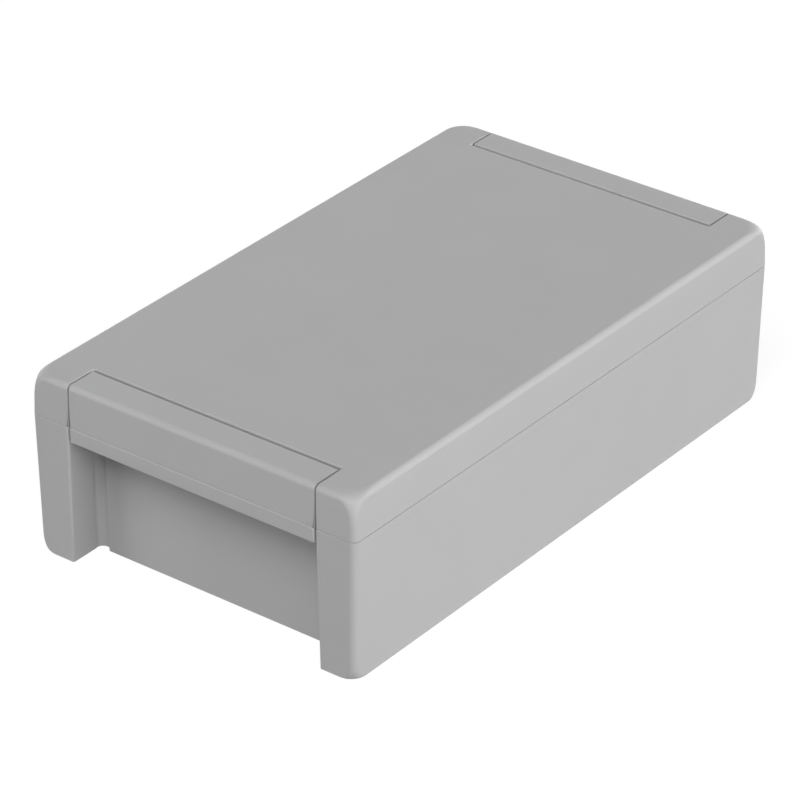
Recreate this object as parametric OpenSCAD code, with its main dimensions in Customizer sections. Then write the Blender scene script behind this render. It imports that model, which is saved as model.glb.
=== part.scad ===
// Die-cast aluminium enclosure with a screwed lid and two push-on cover strips.
// X runs across the width, Y along the length, Z up. The origin is the centre of the bottom face.
// Lengths are millimetres and angles are degrees.

/* [Enclosure] */
// Overall length at the parting line
length = 216.4; // [196:0.2:260]
// Overall width at the parting line
width = 125; // [118:1:150]
// Overall height
height = 63.5; // [58:0.5:80]
// Height of the lid above the parting line
lid_height = 14.7; // [14:0.1:18]
// Draft of the base's long sides
side_draft = 1.1; // [0.6:0.1:1.6]
// Draft of the base's end faces
end_draft = 0.8; // [0.4:0.1:1.6]
// Draft of the outer walls of the lid
lid_draft = 1.4; // [0.5:0.1:2]
// Radius of the upright edges
edge_radius = 2.2; // [1.6:0.1:3.5]
// Chamfer on both sides of the parting line
joint_chamfer = 0.25; // [0.15:0.05:0.4]

/* [Rounded corners] */
// Fillet round the top face
top_fillet = 2.1; // [1.5:0.1:3]
// Corner radius of the top face
top_corner = 10; // [6:0.5:11]
// Height over which the top corners blend into the upright edges
top_rise = 8; // [6:0.5:11]
// Corner radius of the bottom face
foot_corner = 6.5; // [4:0.5:9]
// Height over which the bottom corners blend into the upright edges
foot_rise = 6; // [3:0.5:7]
// Rounding of the bottom edge
foot_edge = 0.3; // [0.2:0.1:0.8]

/* [Walls] */
// Thickness of the long walls at the parting line
wall = 4; // [3.6:0.1:4.6]
// Thickness of the end walls at the parting line
end_wall = 7.3; // [7:0.1:9]
// Thickness of the floor
floor_thickness = 3.5; // [2.5:0.5:5]
// Thickness of the lid's roof
roof_thickness = 3; // [2.5:0.5:4]
// Draft of the cavities
cavity_draft = 1; // [0.5:0.1:2]
// Corner radius of the cavities
cavity_radius = 6; // [4:0.5:9]
// Fillet between the floor and the walls
floor_fillet = 2; // [1:0.5:3]

/* [End recess] */
// Clear width between the corner posts at the parting line
recess_width = 95.5; // [86:0.5:97]
// Depth from the end face to the end wall at the parting line
recess_depth = 11.9; // [10.8:0.1:12.2]
// Draft of the corner posts' inner faces
post_draft = 0.7; // [0.3:0.1:1.2]
// Radius of the upright edges beside the recess and the strips
post_edge = 0.8; // [0.4:0.1:1.2]
// Casting wall round the core pocket of a corner post
post_wall = 2.6; // [2:0.1:2.8]
// Floor of the core pockets, above the bottom face
pocket_floor = 8; // [5:1:16]
// Corner radius of the core pockets
pocket_radius = 2; // [1:0.1:3]

/* [End flange] */
// Distance from the end face to the flange and the lid's ledge
flange_edge = 4; // [3.8:0.1:4.3]
// Thickness of the base's end flange
flange_thickness = 7.8; // [7:0.1:8.4]
// Thickness of the lid's ledge
ledge_thickness = 7; // [6.8:0.1:7.4]

/* [Wall mounting] */
// Radius of the mounting screw channels
channel_radius = 2.2; // [2.1:0.1:2.8]
// Distance of the channel centre from the corner post
channel_from_post = 1.5; // [1:0.1:2.4]
// Distance of the channel centre from the end wall
channel_from_wall = 0; // [-0.2:0.1:0.6]
// Radius of the counterbore for the screw head
head_radius = 3.8; // [3.6:0.1:4]
// Depth of the counterbore
head_depth = 4; // [3:0.5:5]

/* [Cover strips] */
// Depth of the lid's cut-out for a strip
strip_depth = 12.9; // [12.4:0.1:13.2]
// Reach of the strip below the parting line
strip_lip = 5; // [4:0.1:6]
// Thickness of the strip
strip_thickness = 2.3; // [1.8:0.1:2.4]
// Gap between the strip's ends and the lid
strip_side_gap = 0.4; // [0.3:0.1:0.8]
// Gap between the strip's inner edge and the lid, for a lifting tool
strip_tool_gap = 1.2; // [0.8:0.1:1.4]
// Fillet inside the strip
strip_fillet = 1.4; // [0.8:0.1:1.8]
// Rounding of the rim of the strip and of its cut-out
rim_round = 0.5; // [0.3:0.1:0.8]
// Thickness of the strip's ribs
rib_thickness = 1.8; // [1.2:0.1:2.4]
// Distance from the strip's inner edge to the end of its ribs
rib_setback = 1; // [0.5:0.1:2]
// Spacing of the strip's middle ribs
rib_spacing = 46; // [43:1:48]
// Radius of the strip's pegs
peg_radius = 2; // [1.5:0.1:2.2]
// Spacing of the strip's two pegs
peg_spacing = 34; // [24:1:36]
// Depth of a peg in its hole
peg_depth = 6; // [4:0.1:6.5]
// Radial clearance of a peg in its hole
peg_clearance = 0.08; // [0.05:0.01:0.15]
// Width of the slit that lets a peg spring
peg_slit = 0.8; // [0.5:0.1:1.2]

/* [Lid screws] */
// Spacing of the two screws at one end
screw_spacing = 66; // [62:1:72]
// Distance from the end face to the screws
screw_from_end = 8.2; // [8:0.1:8.4]
// Outer radius of the screw thread
thread_radius = 1.95; // [1.7:0.05:2]
// Length of the screw thread
thread_length = 3.7; // [3:0.1:3.8]
// Radius of the reduced neck
neck_radius = 1.5; // [1.2:0.05:1.55]
// Radius of the screw head
screw_head_radius = 3.3; // [3:0.1:3.4]
// Height of the screw head
screw_head_height = 2.8; // [2.4:0.1:3]
// Depth of the screw head below the top of the ledge
head_sink = 0.3; // [0.1:0.1:0.6]
// Width across flats of the hexagon socket
socket_flats = 3; // [2.5:0.5:3]
// Depth of the hexagon socket
socket_depth = 1.6; // [1:0.1:2]
// Travel that frees the screw from the base
screw_travel = 5; // [4:0.1:5]
// Thickness of the screw seat in the ledge
seat_thickness = 1.7; // [1.4:0.1:2]
// Radial clearance round the screw
screw_clearance = 0.1; // [0.05:0.05:0.2]
// Gap that is left above the thread at the end of the travel
travel_gap = 0.2; // [0.1:0.1:0.4]
// Outer radius of the retaining washer
retainer_radius = 3; // [2.6:0.1:3]
// Thickness of the retaining washer
retainer_thickness = 1; // [0.8:0.1:1.2]

/* [Lid seal] */
// Width of the seal
seal_width = 2; // [1.6:0.1:2]
// Height of the seal
seal_height = 1.9; // [1.6:0.1:2.2]
// Distance from the cavity edge to the middle of the seal
seal_inset = 1.6; // [1.5:0.1:1.7]
// Clearance on each side of the seal in its groove
seal_clearance = 0.1; // [0.05:0.05:0.15]

/* [Fixing bosses] */
// Spacing of the base's board bosses across the width
board_spacing_x = 90; // [60:1:96]
// Spacing of the base's board bosses along the length
board_spacing_y = 150; // [100:1:154]
// Radius of the board bosses
board_boss_radius = 4.5; // [4:0.1:5.5]
// Height of the board bosses above the floor
board_boss_height = 8; // [5:0.5:12]
// Radius of the tapping holes in the board bosses
board_hole_radius = 1.65; // [1.2:0.05:1.8]
// Spacing of the rail bosses along the length
rail_spacing = 70; // [40:1:90]
// Height of the rail bosses above the floor
rail_boss_height = 5; // [4:0.5:8]
// Spacing of the lid bosses across the width
lid_boss_spacing_x = 80; // [50:1:90]
// Spacing of the lid bosses along the length
lid_boss_spacing_y = 120; // [80:1:140]
// Radius of the lid bosses
lid_boss_radius = 3.5; // [3:0.1:4.5]
// Height of the lid bosses
lid_boss_height = 6.5; // [4:0.5:7.5]
// Radius of the tapping holes in the lid bosses
lid_hole_radius = 1.25; // [1:0.05:1.6]

/* [Earth terminal] */
// Distance from the long wall to the earth terminal
earth_from_wall = 14.5; // [12:0.5:22]
// Radius of the earth boss
earth_boss_radius = 5.5; // [5:0.1:6]
// Height of the earth boss above the floor
earth_boss_height = 6; // [5:0.5:9]
// Radius of the earth washers
earth_washer_radius = 4.5; // [4:0.1:4.8]
// Thickness of the toothed earth washer
earth_washer_thickness = 0.8; // [0.5:0.1:1]
// Thickness of the plain clamp washer
clamp_washer_thickness = 1; // [0.8:0.1:1.4]
// Teeth round the toothed washer
earth_teeth = 10; // [8:1:14]
// Depth of the gaps between those teeth
earth_tooth_depth = 1; // [0.6:0.1:1.4]
// Radius of the earth screw's head
earth_head_radius = 3.5; // [3.2:0.1:4]
// Height of the earth screw's head
earth_head_height = 2.4; // [2:0.1:3]
// Length of the earth screw's thread below its head
earth_thread_length = 7; // [6:0.5:8]

/* [Hidden] */

$fn = 48;
corner_facets = 10;
foot_steps = 6;
top_steps = 6;
blend_steps = 3;
cove_steps = 4;
rim_steps = 3;
through = 1;
weld = 0.1;
tip_chamfer = 0.5;
coat = [0.67, 0.67, 0.675];
steel = [0.78, 0.78, 0.8];
nylon = [0.9, 0.9, 0.86];
rubber = [0.16, 0.16, 0.17];

parting_z = height - lid_height;
half_width = width / 2;
half_length = length / 2;
fillet_z = height - top_fillet;
cavity_x = half_width - wall;
cavity_y = half_length - recess_depth - end_wall;
roof_z = height - roof_thickness;
flange_z = parting_z - flange_thickness;
ledge_z = parting_z + ledge_thickness;
channel_x = recess_width / 2 - channel_from_post;
channel_y = half_length - recess_depth + channel_from_wall;
strip_width = recess_width - 2 * strip_side_gap;
strip_inner = strip_depth - strip_tool_gap;
strip_under = height - strip_thickness;
screw_y = half_length - screw_from_end;
seat_z = ledge_z - screw_head_height - head_sink;
retainer_top = seat_z - seat_thickness;
thread_top = retainer_top - retainer_thickness - screw_travel - travel_gap;
screw_hole_radius = thread_radius + screw_clearance;
seal_x = cavity_x + seal_inset;
seal_y = cavity_y + seal_inset;
seal_corner = cavity_radius + seal_inset;
board_top = floor_thickness + board_boss_height;
earth_x = cavity_x - earth_from_wall;
earth_top = floor_thickness + earth_boss_height;
earth_seat = earth_top + earth_washer_thickness + clamp_washer_thickness;

// Outer form

function side_inset(z) = (parting_z - z) * tan(side_draft);
function end_inset(z) = (parting_z - z) * tan(end_draft);
function lid_inset(z) = (z - parting_z) * tan(lid_draft);
// Grows from a to b along a quarter ellipse as s goes from 0 to 1, and holds outside that range
function swell(a, b, s) = a + (b - a) * (1 - sqrt(1 - pow(max(0, min(1, s)), 2)));
function foot_radius(z) = swell(edge_radius, foot_corner, 1 - z / foot_rise);
function top_radius(z) = swell(edge_radius, top_corner, 1 - (height - z) / top_rise);
// Inset of a quarter round of radius r at a distance along it from its tangent point
function round_inset(r, along) = swell(0, r, along / r);

// One closed outline of a box with round corners, counter-clockwise, at height z
function ring(x, y, r, z) = [
    for (corner = [0:3], step = [0:corner_facets])
        let (
            angle = 90 * (corner + step / corner_facets),
            side_x = (corner == 0 || corner == 3) ? 1 : -1,
            side_y = corner < 2 ? 1 : -1
        )
        [side_x * (x - r) + r * cos(angle), side_y * (y - r) + r * sin(angle), z]
];

// Outlines of the base and the lid, drawn in by a further inset where their edges are round
function base_ring(inset, r, z) =
    ring(half_width - side_inset(z) - inset, half_length - end_inset(z) - inset, r, z);
function lid_ring(inset, r, z) =
    ring(half_width - lid_inset(z) - inset, half_length - lid_inset(z) - inset, r, z);

// Skin through a stack of rings, closed at both ends
module loft(rings) {
    count = len(rings[0]);
    last = len(rings) - 1;
    sides = [
        for (level = [0:last - 1], i = [0:count - 1])
            let (j = (i + 1) % count, low = level * count, high = low + count)
            each [[low + i, high + j, low + j], [low + i, high + i, high + j]]
    ];
    floor_face = [for (i = [0:count - 1]) i];
    roof_face = [for (i = [count - 1:-1:0]) last * count + i];
    polyhedron(points = [for (one = rings) each one], faces = concat(sides, [floor_face], [roof_face]));
}

// Repeats its children at the front and the rear end
module both_ends() {
    for (turn = [0, 180])
        rotate(turn)
            children();
}

// Repeats its children on the left and the right
module both_sides() {
    for (flip = [0, 1])
        mirror([flip, 0, 0])
            children();
}

// Repeats its children at the corners of a centred rectangle
module at_corners(dx, dy) {
    for (x = [-dx / 2, dx / 2], y = [-dy / 2, dy / 2])
        translate([x, y, 0])
            children();
}

// Flat rectangle with true round corners
module round_rectangle(x, y, r) {
    square([2 * x, 2 * (y - r)], center = true);
    square([2 * (x - r), 2 * y], center = true);
    at_corners(2 * (x - r), 2 * (y - r))
        circle(r);
}

module base_block() {
    edge_levels = [for (i = [0:rim_steps]) foot_edge * (1 - cos(90 * i / rim_steps))];
    rise = foot_rise - foot_edge;
    foot_levels = [for (i = [1:foot_steps]) foot_edge + rise * (1 - cos(90 * i / foot_steps))];
    chamfer_z = parting_z - joint_chamfer;
    loft(concat(
        [for (z = edge_levels) base_ring(round_inset(foot_edge, foot_edge - z), foot_radius(z), z)],
        [for (z = foot_levels) base_ring(0, foot_radius(z), z)],
        [base_ring(0, edge_radius, chamfer_z)],
        [base_ring(joint_chamfer, edge_radius, parting_z)]
    ));
}

module lid_block() {
    chamfer_z = parting_z + joint_chamfer;
    blend_z = height - top_rise;
    blend_levels = [for (i = [0:blend_steps]) blend_z + (fillet_z - blend_z) * i / blend_steps];
    fillet_levels = [for (i = [1:top_steps]) fillet_z + top_fillet * sin(90 * i / top_steps)];
    loft(concat(
        [lid_ring(joint_chamfer, edge_radius, parting_z)],
        [lid_ring(0, edge_radius, chamfer_z)],
        [for (z = blend_levels) lid_ring(0, top_radius(z), z)],
        [for (z = fillet_levels) lid_ring(round_inset(top_fillet, z - fillet_z), top_radius(z), z)]
    ));
}

// Base

// Outline of a cavity at height z: it narrows away from the parting line, and by the fillet at its end
function cavity_ring(z, fillet_in) =
    let (inset = abs(z - parting_z) * tan(cavity_draft) + fillet_in)
    ring(cavity_x - inset, cavity_y - inset, cavity_radius, z);
// Quarter-round fillet between a cavity's end face and its walls
function cove_in(i) = floor_fillet * (1 - sin(90 * i / cove_steps));
function cove_up(i) = floor_fillet * (1 - cos(90 * i / cove_steps));

module base_cavity() {
    loft(concat(
        [for (i = [0:cove_steps]) cavity_ring(floor_thickness + cove_up(i), cove_in(i))],
        [cavity_ring(parting_z, 0)],
        [ring(cavity_x, cavity_y, cavity_radius, parting_z + through)]
    ));
}

// Outline of the space between two corner posts, open to the front, to a depth behind the end face
module recess_outline(depth) {
    half = recess_width / 2;
    translate([-half, -half_length - through])
        square([recess_width, depth + through]);
    both_sides()
        difference() {
            translate([half - through, -half_length - through])
                square([post_edge + through, post_edge + through]);
            translate([half + post_edge, -half_length + post_edge])
                circle(post_edge, $fn = 4 * corner_facets);
        }
}

// The recess widens and deepens towards the bottom by the draft of the posts and the outer walls
module end_recess() {
    run = parting_z + through;
    share = run / parting_z;
    narrow = 1 - share * end_inset(0) / half_length;
    widen = 1 + share * parting_z * tan(post_draft) / (recess_width / 2);
    translate([0, 0, parting_z])
        mirror([0, 0, 1])
            linear_extrude(height = run, scale = [widen, narrow], slices = 1)
                recess_outline(recess_depth);
    translate([0, 0, parting_z])
        linear_extrude(height = through)
            recess_outline(recess_depth);
}

// Shelf between the posts that takes the lid screws and the mounting screws
module end_flange() {
    overlap = 2;
    translate([-recess_width / 2 - overlap, -half_length + flange_edge, flange_z])
        cube([recess_width + 2 * overlap, recess_depth - flange_edge + overlap, flange_thickness]);
}

// Vertical channel for a wall-mounting screw, with a counterbore for its head
module mounting_channels() {
    both_sides()
        translate([channel_x, -channel_y, 0]) {
            translate([0, 0, -through])
                cylinder(r = channel_radius, h = parting_z + 2 * through);
            translate([0, 0, parting_z - head_depth])
                cylinder(r = head_radius, h = head_depth + through);
        }
}

// Tapped hole in the flange, opened out above the thread
module lid_screw_threads() {
    both_sides()
        translate([screw_spacing / 2, -screw_y, 0]) {
            translate([0, 0, flange_z - through])
                cylinder(r = screw_hole_radius, h = flange_thickness + 2 * through);
            translate([0, 0, thread_top])
                cylinder(r = thread_radius + 4 * screw_clearance, h = parting_z - thread_top + through);
        }
}

// Plan of a corner post's core pocket
module pocket_outline() {
    inner = channel_x + head_radius + post_wall;
    outer = half_width - side_inset(pocket_floor) - post_wall;
    front = half_length - end_inset(pocket_floor) - post_wall;
    back = cavity_y + seal_inset + seal_width / 2 + post_wall;
    x = (outer - inner) / 2;
    y = (front - back) / 2;
    translate([(inner + outer) / 2, -(front + back) / 2])
        polygon([for (p = ring(x, y, min(pocket_radius, x - weld), 0)) [p.x, p.y]]);
}

module post_pockets() {
    both_sides()
        translate([0, 0, pocket_floor])
            linear_extrude(height = parting_z - pocket_floor + through)
                pocket_outline();
}

module floor_bosses() {
    root = floor_thickness / 2;
    at_corners(board_spacing_x, board_spacing_y)
        translate([0, 0, root])
            cylinder(r = board_boss_radius, h = board_top - root);
    at_corners(0, rail_spacing)
        translate([0, 0, root])
            cylinder(r = board_boss_radius, h = floor_thickness + rail_boss_height - root);
    translate([-earth_x, 0, root])
        cylinder(r = earth_boss_radius, h = earth_top - root);
}

module floor_boss_holes() {
    bottom = floor_thickness / 2 + weld;
    at_corners(board_spacing_x, board_spacing_y)
        translate([0, 0, bottom])
            cylinder(r = board_hole_radius, h = board_top);
    at_corners(0, rail_spacing)
        translate([0, 0, bottom])
            cylinder(r = board_hole_radius, h = board_top);
    translate([-earth_x, 0, bottom])
        cylinder(r = screw_hole_radius, h = board_top);
}

module base() {
    color(coat)
        difference() {
            union() {
                difference() {
                    base_block();
                    both_ends()
                        end_recess();
                    base_cavity();
                }
                both_ends()
                    end_flange();
                floor_bosses();
            }
            both_ends() {
                mounting_channels();
                lid_screw_threads();
                post_pockets();
            }
            floor_boss_holes();
        }
}

// Lid

module lid_cavity() {
    loft(concat(
        [ring(cavity_x, cavity_y, cavity_radius, parting_z - through)],
        [cavity_ring(parting_z, 0)],
        [for (i = [cove_steps:-1:0]) cavity_ring(roof_z - cove_up(i), cove_in(i))]
    ));
}

// Outline of the strip's cut-out, grown on its three closed sides, at height z
function rim_ring(grow, z) =
    let (x = recess_width / 2 + grow)
    let (front = -half_length - through, back = strip_depth + grow - half_length)
    [[x, back, z], [-x, back, z], [-x, front, z], [x, front, z]];

// Space for a cover strip, down to the ledge and past its front edge, with a rounded rim
module strip_cut_out() {
    tangent_z = height - rim_round;
    translate([0, 0, ledge_z])
        linear_extrude(height = height - ledge_z + through)
            recess_outline(strip_depth);
    translate([0, 0, parting_z - through])
        linear_extrude(height = ledge_thickness + 2 * through)
            recess_outline(flange_edge);
    loft(concat(
        [for (i = [0:rim_steps])
            let (along = rim_round * sin(90 * i / rim_steps))
            rim_ring(round_inset(rim_round, along), tangent_z + along)],
        [rim_ring(rim_round, height + through)]
    ));
}

module seal_groove() {
    reach = seal_width / 2 + seal_clearance;
    translate([0, 0, parting_z - through])
        linear_extrude(height = seal_height + through)
            difference() {
                round_rectangle(seal_x + reach, seal_y + reach, seal_corner + reach);
                round_rectangle(seal_x - reach, seal_y - reach, seal_corner - reach);
            }
}

// Counterbore, neck hole and retainer pocket of a captive screw
module captive_screw_hole() {
    translate([0, 0, seat_z])
        cylinder(r = screw_head_radius + 3 * screw_clearance, h = ledge_z - seat_z + through);
    translate([0, 0, parting_z - through])
        cylinder(r = screw_hole_radius, h = ledge_thickness + through);
    translate([0, 0, parting_z - through])
        cylinder(r = retainer_radius + 2 * screw_clearance, h = retainer_top - parting_z + through);
}

module ledge_holes() {
    both_sides() {
        translate([screw_spacing / 2, -screw_y, 0])
            captive_screw_hole();
        translate([peg_spacing / 2, -screw_y, parting_z - through])
            cylinder(r = peg_radius + peg_clearance, h = ledge_thickness + 2 * through);
    }
}

module lid_post_pockets() {
    both_sides()
        translate([0, 0, parting_z - through])
            linear_extrude(height = roof_z - parting_z - floor_fillet + through)
                pocket_outline();
}

module lid_bosses() {
    at_corners(lid_boss_spacing_x, lid_boss_spacing_y)
        translate([0, 0, roof_z - lid_boss_height])
            difference() {
                cylinder(r = lid_boss_radius, h = lid_boss_height + roof_thickness / 2);
                translate([0, 0, -through])
                    cylinder(r = lid_hole_radius, h = lid_boss_height + through);
            }
}

module lid() {
    color(coat) {
        difference() {
            lid_block();
            lid_cavity();
            seal_groove();
            both_ends() {
                strip_cut_out();
                ledge_holes();
                lid_post_pockets();
            }
        }
        lid_bosses();
    }
}

// Cover strips

// Points along an arc round (x, y)
function arc(x, y, r, from, to, steps) = [
    for (i = [0:steps])
        let (angle = from + (to - from) * i / steps)
        [x + r * cos(angle), y + r * sin(angle)]
];

// Section of the strip, with the distance from the end face across and the height up
module strip_section() {
    lip_z = parting_z - strip_lip;
    low_z = parting_z - joint_chamfer;
    high_z = parting_z + joint_chamfer;
    cove_z = strip_under - strip_fillet;
    polygon(concat(
        [[strip_thickness, lip_z]],
        [[end_inset(lip_z), lip_z]],
        [[end_inset(low_z), low_z]],
        [[joint_chamfer, parting_z]],
        [[lid_inset(high_z), high_z]],
        arc(lid_inset(fillet_z) + top_fillet, fillet_z, top_fillet, 180, 90, top_steps),
        arc(strip_inner - rim_round, height - rim_round, rim_round, 90, 0, rim_steps),
        [[strip_inner, strip_under]],
        arc(strip_thickness + strip_fillet, cove_z, strip_fillet, 90, 180, cove_steps)
    ));
}

// Rib that stands on the lid's ledge and stiffens the strip
module strip_rib() {
    run = strip_inner - rib_setback - strip_thickness;
    translate([-rib_thickness / 2, strip_thickness - weld, ledge_z])
        cube([rib_thickness, run + weld, strip_under - ledge_z + weld]);
}

// Split peg that springs into its hole in the ledge
module strip_peg() {
    bottom = ledge_z - peg_depth;
    straight = strip_under - bottom - tip_chamfer + weld;
    difference() {
        translate([0, screw_from_end, bottom]) {
            cylinder(r1 = peg_radius - tip_chamfer, r2 = peg_radius, h = tip_chamfer);
            translate([0, 0, tip_chamfer])
                cylinder(r = peg_radius, h = straight);
        }
        translate([-peg_slit / 2, screw_from_end - peg_radius - through, bottom - through])
            cube([peg_slit, 2 * (peg_radius + through), peg_depth + through]);
    }
}

// Strip's section along its width, with rounded ends at the top and at the front
module strip_shell() {
    half = strip_width / 2;
    reach = strip_inner + 2 * through;
    intersection() {
        translate([-half, 0, 0])
            rotate([90, 0, 90])
                linear_extrude(height = strip_width)
                    strip_section();
        translate([0, reach, height / 2])
            rotate([90, 0, 0])
                linear_extrude(height = 2 * reach)
                    round_rectangle(half, height / 2, rim_round);
        translate([0, reach, 0])
            linear_extrude(height = height + through)
                round_rectangle(half, reach, post_edge);
    }
}

module cover_strip() {
    color(coat)
        translate([0, -half_length, 0]) {
            strip_shell();
            for (x = [-rib_spacing / 2, 0, rib_spacing / 2])
                translate([x, 0, 0])
                    strip_rib();
            both_sides() {
                translate([(strip_width - rib_thickness) / 2, 0, 0])
                    strip_rib();
                translate([peg_spacing / 2, 0, 0])
                    strip_peg();
            }
        }
}

module front_strip() {
    cover_strip();
}

module rear_strip() {
    rotate(180)
        cover_strip();
}

// Seal and screws

module lid_seal() {
    reach = seal_width / 2;
    color(rubber)
        translate([0, 0, parting_z])
            linear_extrude(height = seal_height)
                difference() {
                    round_rectangle(seal_x + reach, seal_y + reach, seal_corner + reach);
                    round_rectangle(seal_x - reach, seal_y - reach, seal_corner - reach);
                }
}

module hexagon_socket(z) {
    translate([0, 0, z - socket_depth])
        cylinder(r = socket_flats / 2 / cos(30), h = socket_depth + through, $fn = 6);
}

// Captive screw with a reduced neck above a short thread
module captive_screw() {
    bottom = thread_top - thread_length;
    color(steel)
        difference() {
            union() {
                translate([0, 0, bottom])
                    cylinder(r1 = thread_radius - tip_chamfer, r2 = thread_radius, h = tip_chamfer);
                translate([0, 0, bottom + tip_chamfer])
                    cylinder(r = thread_radius, h = thread_length - tip_chamfer);
                translate([0, 0, thread_top])
                    cylinder(r = neck_radius, h = seat_z - thread_top);
                translate([0, 0, seat_z])
                    cylinder(r = screw_head_radius, h = screw_head_height);
            }
            hexagon_socket(seat_z + screw_head_height);
        }
}

module lid_screw(side, end) {
    translate([side * screw_spacing / 2, end * screw_y, 0])
        captive_screw();
}

module screw_retainers() {
    color(nylon)
        at_corners(screw_spacing, 2 * screw_y)
            translate([0, 0, retainer_top - retainer_thickness])
                difference() {
                    cylinder(r = retainer_radius, h = retainer_thickness);
                    translate([0, 0, -through])
                        cylinder(r = neck_radius + screw_clearance, h = retainer_thickness + 2 * through);
                }
}

// Earth terminal

module earth_tooth_washer() {
    gap = PI * earth_washer_radius / earth_teeth;
    color(steel)
        translate([-earth_x, 0, earth_top])
            difference() {
                cylinder(r = earth_washer_radius, h = earth_washer_thickness);
                translate([0, 0, -through])
                    cylinder(r = screw_hole_radius, h = earth_washer_thickness + 2 * through);
                for (i = [0:earth_teeth - 1])
                    rotate(360 * i / earth_teeth)
                        translate([earth_washer_radius - earth_tooth_depth, -gap / 2, -through])
                            cube([earth_washer_radius, gap, earth_washer_thickness + 2 * through]);
            }
}

module earth_clamp_washer() {
    color(steel)
        translate([-earth_x, 0, earth_top + earth_washer_thickness])
            difference() {
                cylinder(r = earth_washer_radius, h = clamp_washer_thickness);
                translate([0, 0, -through])
                    cylinder(r = screw_hole_radius, h = clamp_washer_thickness + 2 * through);
            }
}

module earth_screw() {
    color(steel)
        translate([-earth_x, 0, 0])
            difference() {
                union() {
                    translate([0, 0, earth_seat - earth_thread_length])
                        cylinder(r = thread_radius, h = earth_thread_length);
                    translate([0, 0, earth_seat])
                        cylinder(r = earth_head_radius, h = earth_head_height);
                }
                hexagon_socket(earth_seat + earth_head_height);
            }
}

base();
lid();
front_strip();
rear_strip();
lid_seal();
lid_screw(-1, -1);  // lid_screw_front_left
lid_screw(1, -1);  // lid_screw_front_right
lid_screw(-1, 1);  // lid_screw_rear_left
lid_screw(1, 1);  // lid_screw_rear_right
screw_retainers();
earth_screw();
earth_tooth_washer();
earth_clamp_washer();
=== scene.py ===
"""Looks of a die-cast aluminium enclosure: castings, cover strips, seal, screws, earth terminal.

The scene is in metres, in the part's own frame: X across the width, Y along the length, Z up, and
the origin under the middle. The pieces that are made here give their sizes in millimetres, and
skin() turns them into metres.
"""

import logging
import math
from dataclasses import dataclass, field
from enum import Enum
from typing import Union

import bpy
import numpy as np
from mathutils import Matrix, Vector

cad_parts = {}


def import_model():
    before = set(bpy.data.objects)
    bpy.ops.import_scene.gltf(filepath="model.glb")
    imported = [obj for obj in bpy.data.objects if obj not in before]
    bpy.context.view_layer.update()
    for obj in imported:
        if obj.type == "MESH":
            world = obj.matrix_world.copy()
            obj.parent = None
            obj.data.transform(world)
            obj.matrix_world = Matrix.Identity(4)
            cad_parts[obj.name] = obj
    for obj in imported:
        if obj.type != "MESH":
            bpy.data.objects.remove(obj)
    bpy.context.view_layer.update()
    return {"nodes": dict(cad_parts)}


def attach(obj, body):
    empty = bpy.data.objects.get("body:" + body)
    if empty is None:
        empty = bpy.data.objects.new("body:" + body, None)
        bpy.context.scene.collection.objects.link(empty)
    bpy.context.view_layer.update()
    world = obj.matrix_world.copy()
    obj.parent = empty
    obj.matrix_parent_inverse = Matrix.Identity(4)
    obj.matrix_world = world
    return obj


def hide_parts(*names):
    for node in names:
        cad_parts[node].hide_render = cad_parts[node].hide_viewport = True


LOG = logging.getLogger("enclosure")
MM = 0.001
FULL_TURN = 2 * np.pi
QUARTER_TURN = np.pi / 2
WHITE = (1.0, 1.0, 1.0, 1.0)

Colour = tuple[float, float, float]
Feed = Union[bpy.types.NodeSocket, float, Colour]


class Slot(Enum):
    """Material slots of the record."""

    STEEL = "steel"
    SEAL = "seal"
    NYLON = "nylon"


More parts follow.
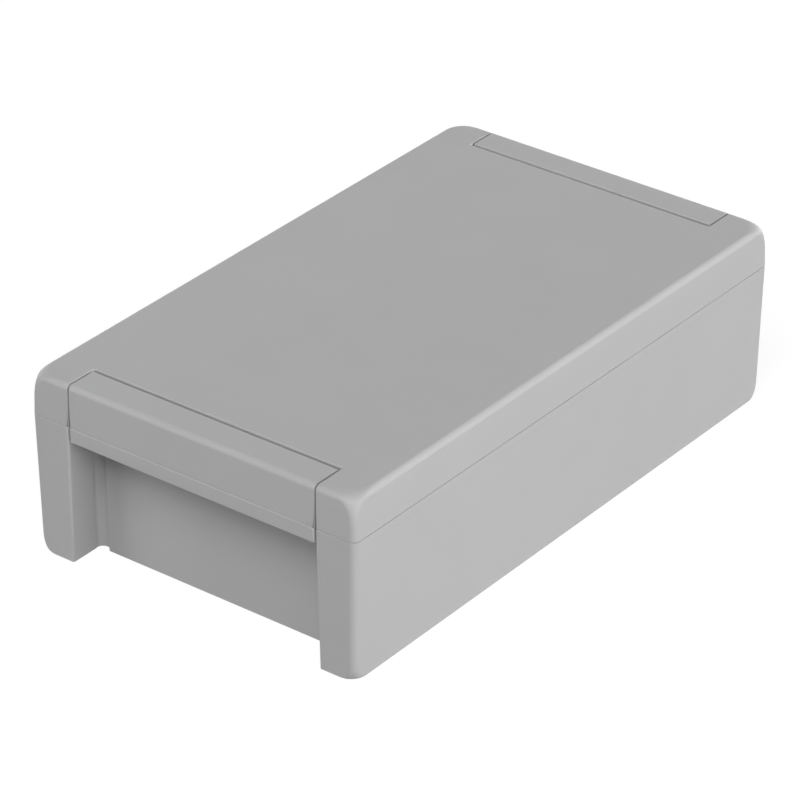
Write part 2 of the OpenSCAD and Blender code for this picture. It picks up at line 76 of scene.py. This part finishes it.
class NodeSheet:
    """A material's node tree, with short ways to add and wire nodes.

    Most of a noise's values lie from noise_low to noise_high.
    """

    noise_low: float = 0.3
    noise_high: float = 0.7

    def __init__(self, name: str) -> None:
        """Starts a material with a Principled shader.

        Args:
            name: name of the material.
        """
        self.material = bpy.data.materials.new(name)
        self.material.use_nodes = True
        self.tree = self.material.node_tree
        self.shader = self.tree.nodes["Principled BSDF"]
        self.place = self.add("ShaderNodeTexCoord").outputs["Object"]

    def add(self, kind: str, **settings: str) -> bpy.types.Node:
        """Adds one node.

        Args:
            kind: Blender's type name of the node.
            settings: attributes to set on it.

        Returns:
            The new node.
        """
        node = self.tree.nodes.new(kind)
        for key, value in settings.items():
            setattr(node, key, value)
        return node

    def wire(self, source: Feed, target: bpy.types.NodeSocket) -> None:
        """Links an output to an input, or sets the input to a plain value.

        Args:
            source: socket or value.
            target: the input.
        """
        if isinstance(source, bpy.types.NodeSocket):
            self.tree.links.new(source, target)
        else:
            target.default_value = source

    def math(self, operation: str, first: Feed, second: Feed) -> bpy.types.NodeSocket:
        """Adds a Math node.

        Args:
            operation: Blender's name of the operation.
            first: first socket or number.
            second: second socket or number.

        Returns:
            The node's output socket.
        """
        node = self.add("ShaderNodeMath", operation=operation)
        self.wire(first, node.inputs[0])
        self.wire(second, node.inputs[1])
        return node.outputs[0]

    def noise(
        self,
        waves: float,
        octaves: float = 2.0,
        stretch: tuple[float, float, float] = (1.0, 1.0, 1.0),
    ) -> bpy.types.NodeSocket:
        """Adds a noise on Object coordinates.

        Args:
            waves: waves per metre.
            octaves: number of finer noises added to the first.
            stretch: factors along X, Y and Z.

        Returns:
            The noise's value socket, about 0 to 1 round 0.5.
        """
        mapping = self.add("ShaderNodeMapping")
        mapping.inputs["Scale"].default_value = stretch
        self.wire(self.place, mapping.inputs["Vector"])
        node = self.add("ShaderNodeTexNoise")
        node.inputs["Scale"].default_value = waves
        node.inputs["Detail"].default_value = octaves
        self.wire(mapping.outputs[0], node.inputs["Vector"])
        return node.outputs["Fac"]

    def spread(
        self, source: bpy.types.NodeSocket, low: float = 0.0, high: float = 1.0
    ) -> bpy.types.NodeSocket:
        """Maps the usual reach of a noise value onto low to high.

        Args:
            source: the noise's socket.
            low: value at the noise's usual low.
            high: value at the noise's usual high.

        Returns:
            The mapped socket.
        """
        node = self.add("ShaderNodeMapRange")
        self.wire(source, node.inputs["Value"])
        node.inputs["From Min"].default_value = self.noise_low
        node.inputs["From Max"].default_value = self.noise_high
        node.inputs["To Min"].default_value = low
        node.inputs["To Max"].default_value = high
        return node.outputs["Result"]

    def tint(self, factor: bpy.types.NodeSocket, dark: Feed, light: Feed) -> bpy.types.NodeSocket:
        """Mixes two colours.

        Args:
            factor: 0 for dark and 1 for light.
            dark: linear colour or socket.
            light: linear colour or socket.

        Returns:
            The colour socket.
        """
        node = self.add("ShaderNodeMix", data_type="RGBA")
        self.wire(factor, node.inputs["Factor"])
        ends = [socket for socket in node.inputs if socket.type == "RGBA"]
        for value, target in zip((dark, light), ends):
            self.wire(value if isinstance(value, bpy.types.NodeSocket) else (*value, 1.0), target)
        return [socket for socket in node.outputs if socket.type == "RGBA"][0]

    def bump(self, height: bpy.types.NodeSocket, strength: float, distance: float) -> None:
        """Roughens the shader's normal.

        Args:
            height: height socket.
            strength: share of the effect.
            distance: height of one unit, in metres.
        """
        node = self.add("ShaderNodeBump")
        node.inputs["Strength"].default_value = strength
        node.inputs["Distance"].default_value = distance
        self.wire(height, node.inputs["Height"])
        self.wire(node.outputs["Normal"], self.shader.inputs["Normal"])


@dataclass(frozen=True)
class PowderCoat:
    """Light grey powder coat outside, bare cast aluminium inside the seal line."""

    name: str = "light grey powder coat"
    colour: Colour = (0.45, 0.45, 0.452)
    drift: float = 0.01
    drift_waves: float = 45.0
    roughness: float = 0.5
    roughness_swing: float = 0.03
    specular: float = 0.2
    grain_waves: float = 2600.0
    grain_strength: float = 0.1
    grain_height: float = 0.03 * MM
    cast_dark: Colour = (0.46, 0.46, 0.47)
    cast_light: Colour = (0.55, 0.55, 0.56)
    cast_waves: float = 240.0
    cast_octaves: float = 4.0
    cast_metallic: float = 0.85
    half_x: float = 58.53 * MM
    half_y: float = 89.03 * MM
    corner: float = 6.03 * MM
    low_z: float = 2.0 * MM
    high_z: float = 62.0 * MM

    def inside(self, sheet: NodeSheet) -> bpy.types.NodeSocket:
        """Gives 1 within the cavity and 0 outside it.

        In plan the cavity is where the distance beyond the corner centres, along X and Y together,
        is under the corner radius.

        Args:
            sheet: the material's nodes.

        Returns:
            The mask socket.
        """
        split = sheet.add("ShaderNodeSeparateXYZ")
        sheet.wire(sheet.place, split.inputs[0])
        squares = []
        for axis, half in (("X", self.half_x), ("Y", self.half_y)):
            offset = sheet.math("ABSOLUTE", split.outputs[axis], 0.0)
            beyond = sheet.math("SUBTRACT", offset, half - self.corner)
            squares.append(sheet.math("POWER", sheet.math("MAXIMUM", beyond, 0.0), 2.0))
        plan = sheet.math("LESS_THAN", sheet.math("ADD", *squares), self.corner**2)
        above = sheet.math("GREATER_THAN", split.outputs["Z"], self.low_z)
        below = sheet.math("LESS_THAN", split.outputs["Z"], self.high_z)
        return sheet.math("MULTIPLY", plan, sheet.math("MULTIPLY", above, below))

    def make(self) -> bpy.types.Material:
        """Builds the material: an even coat with a fine grain, and dull cast metal where it stops.

        Returns:
            The material.
        """
        sheet = NodeSheet(self.name)
        shader = sheet.shader.inputs
        bare = self.inside(sheet)
        dark = tuple((1 - self.drift) * c for c in self.colour)
        light = tuple((1 + self.drift) * c for c in self.colour)
        coat = sheet.tint(sheet.spread(sheet.noise(self.drift_waves)), dark, light)
        mottle = sheet.spread(sheet.noise(self.cast_waves, self.cast_octaves))
        cast = sheet.tint(mottle, self.cast_dark, self.cast_light)
        sheet.wire(sheet.tint(bare, coat, cast), shader["Base Color"])
        sheet.wire(sheet.math("MULTIPLY", bare, self.cast_metallic), shader["Metallic"])
        grain = sheet.noise(self.grain_waves)
        smooth = self.roughness - self.roughness_swing
        rough = self.roughness + self.roughness_swing
        sheet.wire(sheet.spread(grain, smooth, rough), shader["Roughness"])
        shader["Specular IOR Level"].default_value = self.specular
        sheet.bump(grain, self.grain_strength, self.grain_height)
        return sheet.material


@dataclass(frozen=True)
class StainlessSteel:
    """Bright turned steel of the screws and washers."""

    name: str = "turned stainless steel"
    dark: Colour = (0.5, 0.5, 0.51)
    light: Colour = (0.62, 0.62, 0.63)
    smooth: float = 0.24
    rough: float = 0.36
    mark_waves: float = 1500.0
    mark_stretch: tuple[float, float, float] = (1.0, 1.0, 6.0)

    def make(self) -> bpy.types.Material:
        """Builds the material: metal with faint turning marks across Z.

        Returns:
            The material.
        """
        sheet = NodeSheet(self.name)
        shader = sheet.shader.inputs
        marks = sheet.noise(self.mark_waves, stretch=self.mark_stretch)
        sheet.wire(sheet.tint(sheet.spread(marks), self.dark, self.light), shader["Base Color"])
        shader["Metallic"].default_value = 1.0
        sheet.wire(sheet.spread(marks, self.smooth, self.rough), shader["Roughness"])
        return sheet.material


@dataclass(frozen=True)
class SealRubber:
    """Dark foamed rubber cord."""

    name: str = "foamed seal rubber"
    dark: Colour = (0.018, 0.018, 0.02)
    light: Colour = (0.04, 0.04, 0.043)
    roughness: float = 0.8
    cell_waves: float = 2200.0
    cell_octaves: float = 3.0
    cell_strength: float = 0.3
    cell_depth: float = 0.1 * MM

    def make(self) -> bpy.types.Material:
        """Builds the material: dark, matt, with a fine open grain.

        Returns:
            The material.
        """
        sheet = NodeSheet(self.name)
        shader = sheet.shader.inputs
        cells = sheet.noise(self.cell_waves, self.cell_octaves)
        sheet.wire(sheet.tint(sheet.spread(cells), self.dark, self.light), shader["Base Color"])
        shader["Roughness"].default_value = self.roughness
        sheet.bump(cells, self.cell_strength, self.cell_depth)
        return sheet.material


@dataclass(frozen=True)
class Nylon:
    """Natural nylon of the retaining washers."""

    name: str = "natural nylon"
    dark: Colour = (0.72, 0.7, 0.62)
    light: Colour = (0.8, 0.78, 0.71)
    roughness: float = 0.45
    cloud_waves: float = 400.0

    def make(self) -> bpy.types.Material:
        """Builds the material: milky plastic with a faint cloud.

        Returns:
            The material.
        """
        sheet = NodeSheet(self.name)
        shader = sheet.shader.inputs
        cloud = sheet.spread(sheet.noise(self.cloud_waves))
        sheet.wire(sheet.tint(cloud, self.dark, self.light), shader["Base Color"])
        shader["Roughness"].default_value = self.roughness
        return sheet.material


@dataclass
class Grid:
    """Rows of points round a closed form, in millimetres.

    Columns always close. Rows close into a ring, or each end row closes to its middle point.
    """

    points: np.ndarray
    ring: bool = False

    def mesh(self) -> tuple[np.ndarray, list[np.ndarray]]:
        """Joins neighbouring points into faces.

        Returns:
            The vertices, and arrays of faces: four-sided ones, then three-sided ones at the ends.
        """
        rows, columns = self.points.shape[:2]
        index = np.arange(rows * columns).reshape(rows, columns)
        low = index if self.ring else index[:-1]
        high = np.roll(index, -1, axis=0) if self.ring else index[1:]
        sides = np.stack([low, np.roll(low, -1, axis=1), np.roll(high, -1, axis=1), high], axis=-1)
        faces = [sides.reshape(-1, 4)]
        vertices = self.points.reshape(-1, 3)
        if not self.ring:
            first, last = index[0], index[-1]
            poles = np.array([self.points[0].mean(axis=0), self.points[-1].mean(axis=0)])
            start = np.full(columns, rows * columns)
            faces.append(np.stack([start, np.roll(first, -1), first], axis=-1))
            faces.append(np.stack([start + 1, last, np.roll(last, -1)], axis=-1))
            vertices = np.vstack([vertices, poles])
        return vertices, faces


def skin(name: str, grids: list[Grid], crease: float = 38.0) -> bpy.types.Object:
    """Makes one smooth mesh object of several closed grids.

    Args:
        name: name of the piece.
        grids: its closed forms.
        crease: angle in degrees from which an edge stays sharp.

    Returns:
        The new object.
    """
    vertices: list[np.ndarray] = []
    faces: list[list[int]] = []
    count = 0
    for grid in grids:
        points, joined = grid.mesh()
        for kind in joined:
            faces += (kind + count).tolist()
        vertices.append(points)
        count += len(points)
    mesh = bpy.data.meshes.new(name)
    mesh.from_pydata((np.vstack(vertices) * MM).tolist(), [], faces)
    mesh.polygons.foreach_set("use_smooth", np.ones(len(mesh.polygons), bool))
    mesh.set_sharp_from_angle(angle=math.radians(crease))
    mesh.update()
    piece = bpy.data.objects.new(name, mesh)
    bpy.context.scene.collection.objects.link(piece)
    return piece


def turns(columns: int) -> np.ndarray:
    """Even angles round a full turn, in radians."""
    return np.arange(columns) * FULL_TURN / columns


def lathe(
    radii: np.ndarray, heights: np.ndarray, angles: np.ndarray, x: float, y: float
) -> np.ndarray:
    """Carries a profile round an upright axis.

    Each point is the axis plus its radius in the turn's direction, at its height.

    Args:
        radii: one radius a row, or one a row and column.
        heights: one height a row, or one a row and column.
        angles: the turns of the columns.
        x: place of the axis.
        y: place of the axis.

    Returns:
        Points by row and column.
    """
    shape = (len(radii), len(angles))
    r = np.broadcast_to(radii if radii.ndim == 2 else radii[:, None], shape)
    z = np.broadcast_to(heights if heights.ndim == 2 else heights[:, None], shape)
    return np.stack([x + r * np.cos(angles), y + r * np.sin(angles), z], axis=-1)


def soft_box(
    low_r: float, high_r: float, low_z: float, high_z: float, radius: float, steps: int = 4
) -> np.ndarray:
    """Section of a ring: a rectangle with quarter-round corners, counter-clockwise.

    Each corner is its centre plus the radius in directions over a quarter turn.

    Args:
        low_r: inner radius.
        high_r: outer radius.
        low_z: underside.
        high_z: top.
        radius: radius of the corners.
        steps: steps of each quarter.

    Returns:
        Points as rows of radius and height.
    """
    quarter = np.linspace(0, QUARTER_TURN, steps + 1)
    corners = (
        (high_r - radius, low_z + radius),
        (high_r - radius, high_z - radius),
        (low_r + radius, high_z - radius),
        (low_r + radius, low_z + radius),
    )
    rows = []
    for number, (r, z) in enumerate(corners):
        angle = quarter + (number - 1) * QUARTER_TURN
        rows.append(np.stack([r + radius * np.cos(angle), z + radius * np.sin(angle)], axis=-1))
    return np.vstack(rows)


def dress(piece: bpy.types.Object, material: bpy.types.Material) -> None:
    """Gives a piece one material in place of those it came with.

    Args:
        piece: the piece.
        material: its finish.
    """
    piece.data.materials.clear()
    piece.data.materials.append(material)


def mount(
    piece: bpy.types.Object, material: bpy.types.Material, body: str, nodes: list[str]
) -> None:
    """Finishes a new piece, lets it ride on a body and puts it in place of CAD nodes.

    Args:
        piece: the piece.
        material: its finish.
        body: the body that it moves with.
        nodes: the CAD nodes that it stands for.
    """
    dress(piece, material)
    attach(piece, body)
    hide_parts(*nodes)
    LOG.info("%s: %d faces", piece.name, len(piece.data.polygons))


@dataclass
class Casting:
    """A coated casting: its CAD node with closed seams, eased edges and smooth curves."""

    node: str
    edge: float = 0.15 * MM
    edge_steps: int = 2
    edge_angle: float = math.radians(60)
    seam: float = 2e-6
    flat_angle: float = math.radians(0.5)
    area_weight: int = 100

    def build(self, nodes: dict[str, bpy.types.Object], material: bpy.types.Material) -> None:
        """Adds the modifiers and the finish to the CAD node.

        Args:
            nodes: CAD nodes by name.
            material: finish of the casting.
        """
        piece = nodes[self.node]
        dress(piece, material)
        piece.data.polygons.foreach_set("use_smooth", np.ones(len(piece.data.polygons), bool))
        weld = piece.modifiers.new("closed seams", "WELD")
        weld.merge_threshold = self.seam
        flat = piece.modifiers.new("whole flats", "DECIMATE")
        flat.decimate_type = "DISSOLVE"
        flat.angle_limit = self.flat_angle
        ease = piece.modifiers.new("eased edges", "BEVEL")
        ease.width = self.edge
        ease.segments = self.edge_steps
        ease.limit_method = "ANGLE"
        ease.angle_limit = self.edge_angle
        ease.use_clamp_overlap = False
        lean = piece.modifiers.new("even normals", "WEIGHTED_NORMAL")
        lean.weight = self.area_weight
        lean.keep_sharp = True
        LOG.info("casting %s", self.node)


@dataclass
class SocketScrew:
    """Screw with a rolled thread, a plain neck, a round head and a hexagon socket.

    Lengths are millimetres.
    """

    name: str
    body: str
    x: float
    y: float
    tip: float
    thread_end: float
    seat: float
    head_top: float
    head_radius: float
    head_round: float
    thread_radius: float = 1.95
    thread_depth: float = 0.38
    pitch: float = 0.7
    pitch_rows: int = 12
    flank_slope: float = 1.3
    crest_flat: float = 0.15
    tip_cone: float = 0.6
    tip_share: float = 0.4
    neck_radius: float = 1.5
    neck_length: float = 0.25
    neck_round: float = 0.05
    flats: float = 3.0
    socket_depth: float = 1.6
    drill_share: float = 0.3
    drill_depth: float = 0.2
    rim: float = 0.15
    round_rows: int = 6
    columns: int = 72

    def thread(self, angles: np.ndarray) -> tuple[np.ndarray, np.ndarray]:
        """Thread flank, cut by a cone at each end.

        The radius is a triangle wave of height over pitch less the turn, steepened and clipped so
        that crest and root are flat. The cones rise by one in radius for one in height.

        Args:
            angles: the turns of the columns.

        Returns:
            Radii by row and column, and the heights of the rows.
        """
        rows = int(self.pitch_rows * (self.thread_end - self.tip) / self.pitch)
        z = np.linspace(self.tip, self.thread_end, rows)
        phase = z[:, None] / self.pitch - angles[None, :] / FULL_TURN
        wave = np.abs(2 * (phase - np.floor(phase)) - 1)
        cut = np.clip(self.flank_slope * wave - self.crest_flat, 0, 1)
        flank = self.thread_radius - self.thread_depth * cut
        start = self.thread_radius - self.tip_cone + (z - self.tip)
        stop = self.neck_radius + (self.thread_end - z)
        return np.minimum(flank, np.minimum(start, stop)[:, None]), z

    def head(self, angles: np.ndarray) -> tuple[np.ndarray, np.ndarray]:
        """Neck, head and socket.

        The head's rim is a quarter round. The socket's radius is the hexagon's distance in each
        direction, half the width across flats over the cosine of the turn from the flat's middle.

        Args:
            angles: the turns of the columns.

        Returns:
            Radii by row and column, and the heights of the rows.
        """
        sector = np.mod(angles, np.pi / 3) - np.pi / 6
        hexagon = self.flats / 2 / np.cos(sector)
        even = np.ones_like(angles)
        neck, r, z, top = self.neck_radius, self.head_radius, self.seat, self.head_top
        floor = top - self.socket_depth
        rows = [
            (neck * even, z - self.neck_length),
            (neck * even, z - self.neck_round),
            ((neck + self.neck_round) * even, z),
            ((r - self.rim) * even, z),
            (r * even, z + self.rim),
        ]
        for angle in np.linspace(0, QUARTER_TURN, self.round_rows):
            inset = self.head_round * (1 - np.cos(angle))
            drop = self.head_round * (1 - np.sin(angle))
            rows.append(((r - inset) * even, top - drop))
        rows += [
            (hexagon + self.rim, top),
            (hexagon, top - self.rim),
            (hexagon, floor),
            (self.drill_share * hexagon, floor - self.drill_depth),
        ]
        return np.array([row[0] for row in rows]), np.array([row[1] for row in rows])

    def build(self, material: bpy.types.Material) -> None:
        """Makes the screw in place of its CAD node.

        Args:
            material: finish of the screw.
        """
        angles = turns(self.columns)
        thread_r, thread_z = self.thread(angles)
        head_r, head_z = self.head(angles)
        radii = np.vstack([self.tip_share * thread_r[:1], thread_r, head_r])
        heights = np.concatenate([thread_z[:1], thread_z, head_z])
        piece = skin(f"{self.name}_turned", [Grid(lathe(radii, heights, angles, self.x, self.y))])
        mount(piece, material, self.body, [self.name])


@dataclass
class LidScrews:
    """Four captive screws, one near each corner of the lid. Lengths are millimetres."""

    x: float = 33.0
    y: float = 100.0
    tip: float = 41.1
    thread_end: float = 44.8
    seat: float = 52.7
    head_top: float = 55.5
    head_radius: float = 3.3
    head_round: float = 0.4

    def build(self, material: bpy.types.Material) -> None:
        """Makes each screw on the body of its own name.

        Args:
            material: finish of the screws.
        """
        for end, y in (("front", -self.y), ("rear", self.y)):
            for side, x in (("left", -self.x), ("right", self.x)):
                name = f"lid_screw_{end}_{side}"
                SocketScrew(
                    name=name,
                    body=name,
                    x=x,
                    y=y,
                    tip=self.tip,
                    thread_end=self.thread_end,
                    seat=self.seat,
                    head_top=self.head_top,
                    head_radius=self.head_radius,
                    head_round=self.head_round,
                ).build(material)


@dataclass
class Retainers:
    """Four nylon washers that hold the lid screws in the lid. Lengths are millimetres."""

    x: float = 33.0
    y: float = 100.0
    low: float = 50.0
    high: float = 51.0
    inner: float = 1.6
    outer: float = 3.0
    edge: float = 0.2
    columns: int = 48

    def build(self, material: bpy.types.Material) -> None:
        """Makes the washers in place of their CAD node.

        Args:
            material: finish of the washers.
        """
        section = soft_box(self.inner, self.outer, self.low, self.high, self.edge)
        radii, heights = section[:, 0], section[:, 1]
        angles = turns(self.columns)
        grids = [
            Grid(lathe(radii, heights, angles, sx * self.x, sy * self.y), ring=True)
            for sx in (-1, 1)
            for sy in (-1, 1)
        ]
        piece = skin("retaining_washers", grids)
        mount(piece, material, "lid", ["screw_retainers"])


@dataclass
class SealCord:
    """Rubber cord in the lid's groove. Lengths are millimetres."""

    half_x: float = 60.1
    half_y: float = 90.6
    corner: float = 7.6
    low: float = 48.8
    high: float = 50.7
    half_width: float = 1.0
    edge: float = 0.55
    corner_steps: int = 20
    side_steps: int = 40

    def path(self) -> tuple[np.ndarray, np.ndarray]:
        """Middle line: a rounded rectangle.

        Each corner is a quarter turn round its centre, and the sides join the corners' ends
        straight.

        Returns:
            Points in plan, and the outward direction at each.
        """
        turn = np.linspace(0, QUARTER_TURN, self.corner_steps + 1)
        share = np.linspace(0, 1, self.side_steps + 1)[1:-1, None]
        points, out = [], []
        for number, (sx, sy) in enumerate(((1, 1), (-1, 1), (-1, -1), (1, -1))):
            angle = turn + number * QUARTER_TURN
            ray = np.stack([np.cos(angle), np.sin(angle)], axis=-1)
            centre = np.array([sx * (self.half_x - self.corner), sy * (self.half_y - self.corner)])
            points.append(centre + self.corner * ray)
            out.append(ray)
        path, rays = [], []
        for number in range(4):
            end = points[number][-1]
            following = points[(number + 1) % 4][0]
            path += [points[number], end + share * (following - end)]
            rays += [out[number], np.repeat(out[number][-1:], len(share), axis=0)]
        return np.vstack(path), np.vstack(rays)

    def build(self, material: bpy.types.Material) -> None:
        """Makes the cord in place of its CAD node.

        A soft square is carried along the middle line: each point is the line's point plus the
        section's offset in the outward direction, at the section's height.

        Args:
            material: finish of the cord.
        """
        path, rays = self.path()
        section = soft_box(-self.half_width, self.half_width, self.low, self.high, self.edge)
        plan = path[None, :, :] + section[:, 0][:, None, None] * rays[None, :, :]
        height = np.repeat(section[:, 1][:, None], len(path), axis=1)
        points = np.concatenate([plan, height[..., None]], axis=-1)
        piece = skin("seal_cord", [Grid(points, ring=True)])
        mount(piece, material, "lid", ["lid_seal"])


@dataclass
class EarthTerminal:
    """Earth screw with a toothed lock washer and a plain clamp washer on the base's boss.

    Lengths are millimetres. A tooth's shares are parts of its pitch.
    """

    x: float = -44.0
    y: float = 0.0
    boss_top: float = 9.5
    lock_thickness: float = 0.8
    clamp_thickness: float = 1.0
    clamp_columns: int = 64
    radius: float = 4.5
    bore: float = 2.05
    edge: float = 0.12
    teeth: int = 10
    tooth_columns: int = 16
    tooth_depth: float = 1.0
    tooth_half_share: float = 0.36
    tooth_flank_share: float = 0.06
    tooth_tip_share: float = 0.3
    twist: float = 0.22
    screw_length: float = 7.0
    thread_stop: float = 0.05
    head_height: float = 2.4
    head_radius: float = 3.5
    head_round: float = 1.3
    neck_radius: float = 1.6

    def lock_washer(self) -> Grid:
        """Toothed washer.

        The rim's radius steps between root and tooth with the turn, and each tooth tips in height
        from its front to its back edge, more towards its end.

        Returns:
            The closed form.
        """
        angles = turns(self.teeth * self.tooth_columns)
        phase = np.mod(angles * self.teeth / FULL_TURN, 1.0)
        from_middle = phase - 0.5
        tooth = (self.tooth_half_share - np.abs(from_middle)) / self.tooth_flank_share
        tooth = np.clip(tooth, 0, 1)
        tip = self.twist * tooth * np.clip(from_middle / self.tooth_tip_share, -1, 1)
        low = self.boss_top + self.twist
        high = self.boss_top + self.lock_thickness - self.twist
        section = soft_box(self.bore, self.radius, low, high, self.edge)
        root = self.radius - self.tooth_depth
        share = np.clip((section[:, 0] - root) / self.tooth_depth, 0, 1)[:, None]
        radii = np.minimum(section[:, :1], root) + share * self.tooth_depth * tooth[None, :]
        heights = section[:, 1:] + share * tip[None, :]
        return Grid(lathe(radii, heights, angles, self.x, self.y), ring=True)

    def clamp_washer(self, low: float, high: float) -> Grid:
        """Plain washer: a soft rectangle carried round the screw's axis.

        Args:
            low: underside.
            high: top.

        Returns:
            The closed form.
        """
        section = soft_box(self.bore, self.radius, low, high, 2 * self.edge)
        angles = turns(self.clamp_columns)
        return Grid(lathe(section[:, 0], section[:, 1], angles, self.x, self.y), ring=True)

    def build(self, material: bpy.types.Material) -> None:
        """Makes the two washers and the screw in place of their CAD nodes.

        Args:
            material: finish of all three.
        """
        lock = skin("lock_washer", [self.lock_washer()])
        mount(lock, material, "base", ["earth_tooth_washer"])
        low = self.boss_top + self.lock_thickness
        seat = low + self.clamp_thickness
        clamp = skin("clamp_washer", [self.clamp_washer(low, seat)])
        mount(clamp, material, "base", ["earth_clamp_washer"])
        SocketScrew(
            name="earth_screw",
            body="base",
            x=self.x,
            y=self.y,
            tip=seat - self.screw_length,
            thread_end=seat - self.thread_stop,
            seat=seat,
            head_top=seat + self.head_height,
            head_radius=self.head_radius,
            head_round=self.head_round,
            neck_radius=self.neck_radius,
        ).build(material)


def direction(azimuth: float, elevation: float) -> Vector:
    """Unit vector from the object towards a point; azimuth 0 is -Y and 90 is +X.

    Args:
        azimuth: degrees round Z.
        elevation: degrees above the floor.

    Returns:
        The vector.
    """
    a, e = math.radians(azimuth), math.radians(elevation)
    return Vector((math.sin(a) * math.cos(e), -math.cos(a) * math.cos(e), math.sin(e)))


def seen_rays(tree: bpy.types.NodeTree) -> bpy.types.NodeSocket:
    """Adds nodes that tell rays of the camera, of gloss and through glass from all others.

    Args:
        tree: node tree of a material or a world.

    Returns:
        A socket that is 1 for those rays and 0 for the others.
    """
    rays = tree.nodes.new("ShaderNodeLightPath").outputs
    seen = rays["Is Camera Ray"]
    for kind in ("Is Glossy Ray", "Is Transmission Ray"):
        either = tree.nodes.new("ShaderNodeMath")
        either.operation = "MAXIMUM"
        tree.links.new(seen, either.inputs[0])
        tree.links.new(rays[kind], either.inputs[1])
        seen = either.outputs[0]
    return seen


@dataclass(frozen=True)
class Lamp:
    """A far soft lamp, with the angles of where it stands and its spread in degrees."""

    azimuth: float
    elevation: float
    strength: float
    spread: float = 30.0


@dataclass
class Studio:
    """White floor, soft light and the photograph's camera."""

    azimuth: float = 37.5171
    elevation: float = 30.0683
    roll: float = 0.0458
    focal_px: float = 4384.5
    image_px: int = 800
    sensor: float = 36.0
    camera_at: tuple[float, float, float] = (0.728689, -0.954490, 0.720974)
    clip_near: float = 0.05
    clip_far: float = 20.0
    floor_half: float = 4.0
    floor_dark: Colour = (0.145, 0.145, 0.145)
    floor_light: Colour = (0.155, 0.155, 0.155)
    floor_waves: float = 1.0
    floor_octaves: float = 1.0
    floor_roughness: float = 0.9
    floor_glow: float = 0.9
    sky: float = 0.03
    lamps: dict[str, Lamp] = field(
        default_factory=lambda: {
            "key": Lamp(18.0, 54.0, 1.8),
            "fill": Lamp(-50.0, 6.0, 1.18),
            "front": Lamp(48.0, 6.0, 0.78, 60.0),
            "side": Lamp(90.0, 6.0, 2.5),
            "rim": Lamp(140.0, 6.0, 0.85),
            "back": Lamp(180.0, 6.0, 1.4),
            "left": Lamp(-115.0, 6.0, 0.7),
        }
    )

    def floor(self) -> None:
        """Lays a wide flat floor that shows as white and keeps a soft shadow."""
        half = self.floor_half
        mesh = bpy.data.meshes.new("floor")
        corners = np.array([[-half, -half, 0], [half, -half, 0], [half, half, 0], [-half, half, 0]])
        mesh.from_pydata(corners.tolist(), [], [(0, 1, 2, 3)])
        piece = bpy.data.objects.new("floor", mesh)
        bpy.context.scene.collection.objects.link(piece)
        sheet = NodeSheet("white floor")
        shader = sheet.shader.inputs
        shade = sheet.spread(sheet.noise(self.floor_waves, self.floor_octaves))
        sheet.wire(sheet.tint(shade, self.floor_dark, self.floor_light), shader["Base Color"])
        shader["Roughness"].default_value = self.floor_roughness
        shader["Specular IOR Level"].default_value = 0.0
        shader["Emission Color"].default_value = WHITE
        glow = sheet.math("MULTIPLY", seen_rays(sheet.tree), self.floor_glow)
        sheet.wire(glow, shader["Emission Strength"])
        dress(piece, sheet.material)

    def world(self) -> None:
        """Sets an even sky that the camera, metal and glass see as white."""
        world = bpy.data.worlds.new("studio")
        world.use_nodes = True
        bpy.context.scene.world = world
        tree = world.node_tree
        shade = tree.nodes["Background"]
        shade.inputs["Color"].default_value = WHITE
        level = tree.nodes.new("ShaderNodeMapRange")
        tree.links.new(seen_rays(tree), level.inputs["Value"])
        level.inputs["To Min"].default_value = self.sky
        level.inputs["To Max"].default_value = 1.0
        tree.links.new(level.outputs["Result"], shade.inputs["Strength"])

    def light(self) -> None:
        """Hangs the soft lamps."""
        for name, lamp in self.lamps.items():
            data = bpy.data.lights.new(name, "SUN")
            data.energy = lamp.strength
            data.angle = math.radians(lamp.spread)
            stand = bpy.data.objects.new(name, data)
            bpy.context.scene.collection.objects.link(stand)
            back = direction(lamp.azimuth, lamp.elevation)
            stand.location = back
            stand.rotation_euler = back.to_track_quat("Z", "Y").to_euler()

    def camera(self) -> None:
        """Places the camera at the photograph's angle and framing."""
        data = bpy.data.cameras.new("camera")
        data.sensor_width = self.sensor
        data.lens = self.focal_px / self.image_px * self.sensor
        data.clip_start = self.clip_near
        data.clip_end = self.clip_far
        stand = bpy.data.objects.new("camera", data)
        bpy.context.scene.collection.objects.link(stand)
        azimuth = math.radians(self.azimuth)
        back = direction(self.azimuth, self.elevation)
        right = Vector((math.cos(azimuth), math.sin(azimuth), 0.0))
        up = back.cross(right)
        roll = math.radians(self.roll)
        turned = right * math.cos(roll) + up * math.sin(roll)
        axes = Matrix((turned, back.cross(turned), back)).transposed()
        stand.matrix_world = Matrix.Translation(self.camera_at) @ axes.to_4x4()
        bpy.context.scene.camera = stand

    def build(self) -> None:
        """Sets up the whole studio."""
        self.floor()
        self.world()
        self.light()
        self.camera()
        bpy.context.scene.view_settings.view_transform = "Standard"
        LOG.info("studio: %d lamps", len(self.lamps))


def main() -> None:
    logging.basicConfig(level=logging.INFO, format="%(name)s: %(message)s")
    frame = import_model()
    coat = PowderCoat().make()
    steel = StainlessSteel().make()
    for name in ("base", "lid", "front_strip", "rear_strip"):
        Casting(name).build(frame["nodes"], coat)
    LidScrews().build(steel)
    Retainers().build(Nylon().make())
    SealCord().build(SealRubber().make())
    EarthTerminal().build(steel)
    Studio().build()


if __name__ == "__main__":
    main()
